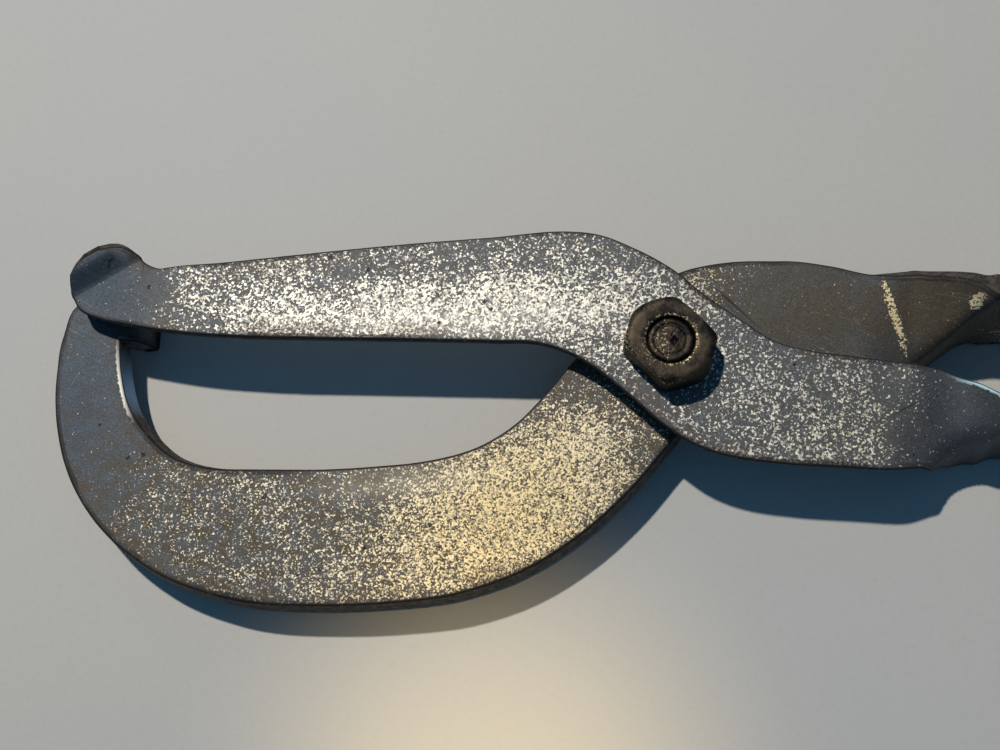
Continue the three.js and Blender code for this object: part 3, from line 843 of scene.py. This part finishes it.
hookArm = {
    "spacing": 0.9,
    "seed": 23,
    "lean": -0.9,
    "rounding": 0.50,
    "lowRounding": 0.5,
    "edgeRough": 0.045,
    "sway": 0.035,
    "capShare": 0.75,
    "capDepth": (0.25, 0.9),
    "rows": [
        spurRow(3.4, 7.6, 5.7, 15.4, 40, 3.6),
        spurRow(1.4, 9.6, 5.2, 15.0, 40, 4.5),
        spurRow(-0.1, 11.6, 4.1, 14.2, 40),
        spurRow(-1.0, 12.5, 2.7, 13.1, 38),
        spurRow(-1.5, 12.9, 1.2, hookZ + 0.3, 20),
        spurRow(-1.5, 12.9, -0.3, hookZ, 0),
        spurRow(-1.1, 15.0, -3.4, hookZ, 0),
        edgeRow(-103.0, 5.9, -91.4, 15.7, hookZ),
        edgeRow(-96.6, 4.5, -87.8, 16.2, hookZ),
        edgeRow(-88.0, 3.2, -82.0, 16.6, hookZ),
        edgeRow(-76.0, 2.3, -74.0, 17.4, hookZ),
        edgeRow(-60.0, 1.9, -59.5, 18.9, hookZ),
        edgeRow(-44.0, 1.6, -44.0, 20.3, hookZ),
        edgeRow(-31.0, 1.3, -30.5, 21.3, hookZ),
        edgeRow(-22.0, 0.8, -19.0, 22.3, hookZ),
        edgeRow(-17.4, -0.8, -12.4, 21.7, hookZ),
        edgeRow(-12.2, -4.0, -5.6, 18.9, hookZ),
        edgeRow(-6.6, -8.7, 0.8, 15.1, hookZ),
        edgeRow(-1.4, -13.4, 6.8, 9.9, hookZ),
        edgeRow(3.6, -16.9, 12.4, 5.7, hookZ),
        edgeRow(9.6, -19.1, 18.2, 1.6, hookZ),
        edgeRow(18.0, -20.3, 24.2, -0.2, hookZ),
        edgeRow(28.0, -20.9, 31.0, -1.2, hookZ),
        edgeRow(36.0, -21.3, 37.5, -2.1, hookZ),
        bentRow(43.0, -11.4, 11.4, 8, -8.4, 28, 17.3),
        bentRow(46.0, -11.4, 10.7, 10, -5.0, 55, 16.4),
        bentRow(49.0, -13.0, 10.3, 13, -1.4, 59, 17.2),
        bentRow(52.0, -14.8, 10.95, 17, 1.8, 61, 18.5),
        bentRow(55.0, -16.7, 12.0, 26, 4.3, 54, 18.8),
        bentRow(58.0, -16.9, 11.4, 46, 7.2, 36, 19.0),
        bentRow(61.0, -14.6, 10.2, 76, 8.8, 7, 19.0),
        gripRow(64.0, -13.7, 9.95, 84),
        gripRow(84.0, -14.6, 9.85, 88),
        gripRow(112.0, -18.6, gripZ, 90),
        gripRow(150.0, -24.0, gripZ, 90),
        gripRow(188.0, -25.8, gripZ, 90),
        gripRow(handleEnd - 18, -24.7, gripZ, 90, 18),
        gripRow(handleEnd - 7, -23.9, gripZ, 90, 15),
        gripRow(handleEnd - 1.8, -23.5, gripZ, 90, 10.5, 4.4),
        gripRow(handleEnd - 0.9, -23.3, gripZ, 90, 7.5, 3.4),
    ],
}

clawPiece = flatBar("clawArm", clawArm)
drillHole(clawPiece, boreRadius, 0, 12)
clawPiece.data.materials.append(makePlateSteel("clawSteel", clawSteelLook))
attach(clawPiece, "claw_arm")
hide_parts("claw_arm")
print("claw arm made:", len(clawPiece.data.polygons), "faces")

hookPiece = flatBar("hookArm", hookArm)
drillHole(hookPiece, boreRadius, 5, 20)
hookPiece.data.materials.append(makePlateSteel("hookSteel", hookSteelLook))
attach(hookPiece, "hook_arm")
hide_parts("hook_arm")
print("hook arm made:", len(hookPiece.data.polygons), "faces")

nutShape = {
    "baseZ": 14.62, "topZ": 19.9, "turn": 45, "widths": (12.7, 15.3, 15.3), "round": 16.4,
    "boreRadius": 4.05, "sinkRadius": 4.3, "chamfer": 1.5, "lowChamfer": 0.5, "glintSide": 215,
}
boltShape = {
    "headHeight": 4.2, "headWidths": (12.7, 12.7, 12.7), "headRound": 14.2, "shankRadius": 3.97,
    "endRadius": 3.5, "endZ": 19.72, "ringRadius": 2.7,
}


def sixSided(angles, turn, widths):
    # the smallest of half width / cos(angle to the flat), softened so the corners round off
    flats = np.radians(turn + 60 * np.arange(6))
    half = np.array(widths * 2) / 2
    facing = np.cos(angles[:, None] - flats)
    reach = half / np.maximum(facing, 0.35)
    return (reach ** -24.0).sum(1) ** (-1 / 24)


def turnedRings(angles, profile, outline):
    # each profile row is (radius, z, share of the six-sided outline)
    profile = np.array(profile, float)
    radius = profile[:, 0][:, None] * np.ones(len(angles))
    capped = np.minimum(outline[None], profile[:, 0][:, None])
    radius = np.where(profile[:, 2][:, None] > 0, capped, radius)
    z = np.tile(profile[:, 1][:, None], (1, len(angles)))
    return np.stack((radius * np.cos(angles), radius * np.sin(angles), z), -1)


def makeNut(look):
    angles = np.arange(180) * 2 * np.pi / 180
    outline = sixSided(angles, look["turn"], look["widths"])
    outer, base, top = look["round"] / 2, look["baseZ"], look["topZ"]
    steps = np.linspace(0, 1, 9)
    # up the outside: lower chamfer, wall, then a chamfer that rounds into the top face
    profile = [(look["sinkRadius"], base, 0), (6.0, base, 0), (outer - look["lowChamfer"], base, 1)]
    profile += [(outer - look["lowChamfer"] * (1 - s), base + look["lowChamfer"] * s, 1)
                for s in (0.5, 1)]
    wallHeight = top - base - look["lowChamfer"] - look["chamfer"]
    profile += [(outer, base + look["lowChamfer"] + wallHeight * s, 1) for s in (0.33, 0.66, 1)]
    profile += [(outer - look["chamfer"] * 1.25 * (1 - math.cos(s * math.pi / 2)),
                 top - look["chamfer"] * (1 - math.sin(s * math.pi / 2)), 1) for s in steps[1:]]
    profile += [(outer - look["chamfer"] * 1.25 - 0.35, top, 0), (5.4, top, 0)]
    profile += [(look["sinkRadius"] + 0.15, top, 0), (look["sinkRadius"], top - 0.06, 0)]
    profile += [(look["boreRadius"] + 0.02, top - 0.3, 0), (look["boreRadius"], top - 0.5, 0)]
    profile += [(look["boreRadius"], base + 0.5, 0)]
    points = turnedRings(angles, profile, outline)
    count = len(profile)
    wear = ripple(points, [(2.5, 5), (1.0, 1.8)], 5)
    outward = points * [1, 1, 0] / np.maximum(np.linalg.norm(points[..., :2], axis=-1), 0.1)[..., None]
    upper = np.clip((points[..., 2] - base - 1.0) / 2, 0, 1)
    outside = np.linalg.norm(points[..., :2], axis=-1) > 5.2
    points = points - outward * (np.abs(wear) * 0.18 * upper * outside)[..., None]
    faces = gridFaces(count, len(angles))
    wrap = np.arange(len(angles))
    closing = np.column_stack(((count - 1) * len(angles) + wrap,
                               (count - 1) * len(angles) + (wrap + 1) % len(angles),
                               (wrap + 1) % len(angles), wrap))
    piece = meshFrom("pivotNut", points.reshape(-1, 3) * mm, [faces, closing])
    height = points[..., 2]
    heading = np.arctan2(points[..., 1], points[..., 0])
    # painted golden glints on the chamfer, strongest on the side that faces the light
    lit = np.clip(np.cos(heading - math.radians(look["glintSide"])), 0, 1)
    rubAndGlint = np.exp(-((height - (top - 0.55)) / 0.5) ** 2) * outside * (0.25 + 0.75 * lit ** 2)
    fromAxis = np.linalg.norm(points[..., :2], axis=-1)
    ringEdge = np.exp(-((fromAxis - look["sinkRadius"] - 0.1) / 0.22) ** 2)
    storeAttribute(piece, "rubAndGlint", np.clip(rubAndGlint + ringEdge * (height > top - 0.3) * 0.7, 0, 1))
    return piece


def makeBolt(look):
    angles = np.arange(120) * 2 * np.pi / 120
    outline = sixSided(angles, 0, look["headWidths"])
    outer, high = look["headRound"] / 2, look["headHeight"]
    shank, endZ, endRadius = look["shankRadius"], look["endZ"], look["endRadius"]
    profile = [(0.02, 0.0, 0), (4.0, 0.0, 0), (outer - 0.9, 0.0, 1)]
    profile += [(outer - 0.9 + 0.9 * s, 0.9 * s * s, 1) for s in (0.33, 0.66, 1)]
    profile += [(outer, high - 0.3, 1), (outer - 0.3, high, 1), (shank + 0.4, high, 0)]
    profile += [(shank, high + 0.1, 0)]
    profile += [(shank, endZ - 0.6, 0), (shank - 0.06, endZ - 0.4, 0)]
    profile += [(endRadius + 0.2, endZ - 0.12, 0), (endRadius, endZ - 0.03, 0)]
    profile += [(endRadius * s, endZ + 0.03 * math.cos(s * 3), 0) for s in np.linspace(0.94, 0.03, 20)]
    points = turnedRings(angles, profile, outline)
    across = np.linalg.norm(points[..., :2], axis=-1)
    onEnd = points[..., 2] > endZ - 0.2
    punch = (np.abs(points[..., 0] - 0.6) + np.abs(points[..., 1] + 0.2) * 0.7) / 0.75
    depth = np.clip(1 - punch, 0, 1) ** 0.8 * 0.5
    depth = depth + 0.16 * np.exp(-((across - look["ringRadius"]) / 0.2) ** 2)
    hammered = ripple(points, [(1.2, 2.4), (0.5, 0.9)], 9) * 0.12
    points[..., 2] -= onEnd * (depth + np.abs(hammered) * (across < 3.0))
    count = len(profile)
    tips = np.arange(len(angles))
    nextTips = (tips + 1) % len(angles)
    lowTip = np.array([[0, 0, 0.0]])
    highTip = np.array([[0, 0, points[-1, :, 2].mean()]])
    vertices = np.vstack((points.reshape(-1, 3), lowTip, highTip)) * mm
    total = count * len(angles)
    base = (count - 1) * len(angles)
    fans = [np.column_stack((np.full(len(tips), total), nextTips, tips)),
            np.column_stack((np.full(len(tips), total + 1), base + tips, base + nextTips))]
    piece = meshFrom("pivotBolt", vertices, [gridFaces(count, len(angles))] + fans)
    rubAndGlint = onEnd * np.clip(0.15 + 0.3 * (points[..., 0] < -0.3) + hammered * 3, 0, 1)
    storeAttribute(piece, "rubAndGlint", np.append(rubAndGlint.ravel(), [0, 0]))
    return piece


nutPiece = makeNut(nutShape)
boltPiece = makeBolt(boltShape)
darkSteel = makeDarkSteel("darkSteel", darkSteelLook)
for piece, node in ((nutPiece, "pivot_nut"), (boltPiece, "pivot_bolt")):
    piece.data.set_sharp_from_angle(angle=math.radians(50))
    piece.data.materials.append(darkSteel)
    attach(piece, "claw_arm")
    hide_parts(node)
print("nut and bolt made")


def makeFloor(look):
    half = look["size"] / 2
    corners = np.array([[-half, -half, 0], [half, -half, 0], [half, half, 0], [-half, half, 0]])
    floor = meshFrom("floor", corners, [np.array([[0, 1, 2, 3]])], smooth=False)
    material, tree, shader, where = newMaterial("paleTable")
    wide = noise(tree, where, 9.0, 2.0, 0.5)
    fine = noise(tree, where, 900.0, 3.0, 0.6)
    base = blendColour(tree, between(tree, wide, 0.35, 0.65), look["pale"], look["cool"])
    base = blendColour(tree, between(tree, fine, 0.45, 0.9, 0.0, 0.35), base, look["speck"])
    marks = useGroup(tree, fineScratches, {"Vector": where, "Heading": 2.1, "Amount": 0.12})["Mask"]
    base = blendColour(tree, marks, base, look["speck"])
    feed(tree, shader.inputs["Base Color"], base)
    shader.inputs["Roughness"].default_value = look["roughness"]
    shader.inputs["Specular IOR Level"].default_value = 0.2
    bump = place(tree, "ShaderNodeBump", {"Height": fine, "Strength": 0.08, "Distance": 0.0002})
    feed(tree, shader.inputs["Normal"], bump.outputs[0])
    floor.data.materials.append(material)
    return floor


makeFloor(floorLook)


def aimed(position, towards):
    # axes of an object at a place whose own -Z axis points at another place
    back = unit(np.array(position, float) - np.array(towards, float))
    right = unit(np.cross([0, 1, 0], back))
    return right, np.cross(back, right), back


def setPlace(thing, position, axes):
    rows = np.eye(4)
    rows[:3, 0], rows[:3, 1], rows[:3, 2] = axes
    rows[:3, 3] = position
    thing.matrix_world = Matrix(rows.tolist())


def addLamp(name, kind, position, towards, power, colour):
    lamp = bpy.data.lights.new(name, kind)
    lamp.energy = power
    lamp.color = colour
    thing = bpy.data.objects.new(name, lamp)
    bpy.context.scene.collection.objects.link(thing)
    setPlace(thing, position, aimed(position, towards))
    return lamp


dayPlace = np.array(lightLook["dayFrom"]) * lightLook["dayDistance"]
daylight = addLamp("daylight", "AREA", dayPlace, lightLook["dayTowards"],
                   lightLook["dayPower"], lightLook["dayColour"])
daylight.shape = "DISK"
daylight.size = lightLook["daySize"]
warmPool = addLamp("warmPool", "SPOT", lightLook["lampAt"], (*lightLook["lampAt"][:2], 0),
                   lightLook["lampPower"], lightLook["lampColour"])
warmPool.spot_size = math.radians(lightLook["lampAngle"])
warmPool.spot_blend = 1.0
warmPool.shadow_soft_size = lightLook["lampSize"]

world = bpy.data.worlds.new("room")
world.use_nodes = True
background = world.node_tree.nodes["Background"]
background.inputs["Color"].default_value = (*lightLook["roomColour"], 1)
background.inputs["Strength"].default_value = lightLook["roomStrength"]
bpy.context.scene.world = world
bpy.context.scene.view_settings.view_transform = "Standard"


def addCamera(look):
    turn, lean = math.radians(look["turn"]), math.radians(look["lean"])
    back = np.array([math.sin(turn) * math.cos(lean), -math.sin(lean), 0.0])
    back[2] = math.sqrt(1 - back[0] ** 2 - back[1] ** 2)
    right = unit(np.array([1.0, 0, 0]) - back[0] * back)
    camera = bpy.data.objects.new("camera", bpy.data.cameras.new("camera"))
    camera.data.lens = look["lens"]
    camera.data.sensor_width = 36
    camera.data.clip_start = 0.01
    camera.data.clip_end = 20
    bpy.context.scene.collection.objects.link(camera)
    position = np.array(look["target"]) + back * look["distance"]
    setPlace(camera, position, (right, np.cross(back, right), back))
    bpy.context.scene.camera = camera


addCamera(cameraLook)
print("floor, lights and camera placed")
